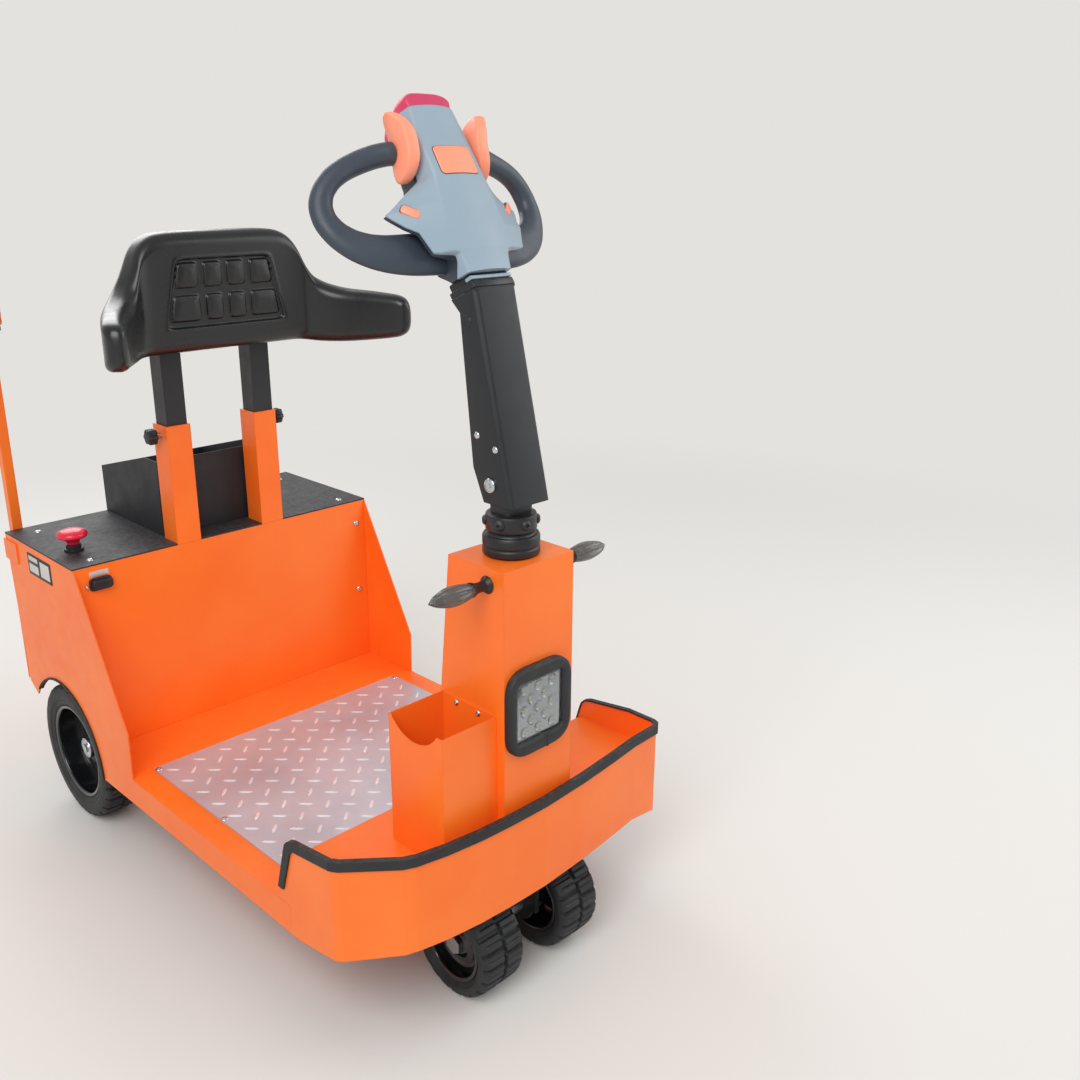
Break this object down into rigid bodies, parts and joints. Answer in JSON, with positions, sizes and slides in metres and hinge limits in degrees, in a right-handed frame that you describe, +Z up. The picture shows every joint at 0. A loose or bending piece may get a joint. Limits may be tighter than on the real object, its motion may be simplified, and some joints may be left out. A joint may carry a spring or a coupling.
{
  "type": "stand-on electric tow tractor with tiller steering",
  "caption": "Compact stand-on electric tow tractor: battery box with backrest, tread-plate platform, steering column and swivelling tiller over twin front wheels.",
  "frame": {"origin": "on the floor under the middle of the vehicle's length and width", "axes": "+Z up, the front of the vehicle to -Y, its left side to +X"},
  "size_m": [0.707, 1.3404, 1.4582],
  "materials": {
    "orange_sheet": "powder coat, satin",
    "black_steel": "satin black",
    "charcoal_steel": "satin",
    "black_textured": "fine texture",
    "black_rubber": "matt",
    "tyre_rubber": "matt",
    "tread_aluminium": "raised pattern",
    "bright_steel": "bright",
    "head_shell": "moulded",
    "grip_plastic": "soft grain",
    "control_plastic": "semi-gloss",
    "red_plastic": "semi-gloss",
    "amber_lens": "ribbed",
    "lamp_lens": "clear",
    "pad_skin": "moulded, glossy"
  },
  "bodies": {
    "chassis": {"frame_rails": "black_steel", "deck_pan": "orange_sheet", "front_apron": "orange_sheet", "apron_trim": "black_rubber", "tread_plate": "tread_aluminium", "side_panels": "orange_sheet", "front_panel": "orange_sheet", "post_sleeves": "orange_sheet", "rear_panel": "orange_sheet", "battery_lid": "black_textured", "storage_bin": "black_textured", "arch_trims": "black_rubber", "battery_block": "black_textured", "drive_axle": "black_steel", "drive_motor": "charcoal_steel", "tow_hitch": "black_steel", "emergency_stop": "red_plastic", "charge_socket": "black_textured", "beacon_pole": "orange_sheet", "beacon": "amber_lens", "steering_column": "orange_sheet", "head_tube": "black_steel", "side_pocket": "orange_sheet", "headlight_bezel": "black_textured", "headlight": "lamp_lens", "turn_signals": "lamp_lens", "clamp_knobs": "black_textured"},
    "steering": {"steering_shaft": "bright_steel", "steering_boss": "black_steel", "front_fork": "black_steel", "front_axle": "bright_steel"},
    "front_wheels": {"front_tyres": "tyre_rubber", "front_rims": "black_steel"},
    "rear_wheel_right": {"rear_tyre_right": "tyre_rubber", "rear_rim_right": "black_steel"},
    "rear_wheel_left": {"rear_tyre_left": "tyre_rubber", "rear_rim_left": "black_steel"},
    "tiller": {"tiller_arm": "charcoal_steel", "tiller_head": "head_shell", "handle_loops": "grip_plastic", "thumb_wheels": "control_plastic", "top_button": "red_plastic"},
    "backrest": {"backrest_tubes": "black_steel", "backrest_pad": "pad_skin"}
  },
  "joints": [
    {"name": "steering", "type": "hinge", "parent": "chassis", "child": "steering", "pos_m": [0, -0.58475, 0.5], "axis": [0, 0, 1], "range_deg": [-80, 80]},
    {"name": "front_wheels_spin", "type": "hinge", "parent": "steering", "child": "front_wheels", "pos_m": [0, -0.57275, 0.095], "axis": [1, 0, 0], "continuous": true},
    {"name": "rear_wheel_right_spin", "type": "hinge", "parent": "chassis", "child": "rear_wheel_right", "pos_m": [-0.2975, 0.42325, 0.15], "axis": [1, 0, 0], "continuous": true},
    {"name": "rear_wheel_left_spin", "type": "hinge", "parent": "chassis", "child": "rear_wheel_left", "pos_m": [0.2975, 0.42325, 0.15], "axis": [1, 0, 0], "continuous": true},
    {"name": "tiller_tilt", "type": "hinge", "parent": "steering", "child": "tiller", "pos_m": [0, -0.58475, 0.895], "axis": [-1, 0, 0], "range_deg": [-13, 35]},
    {"name": "backrest_height", "type": "slide", "parent": "chassis", "child": "backrest", "axis": [0, 0, 1], "range_m": [-0.1, 0.08]}
  ]
}
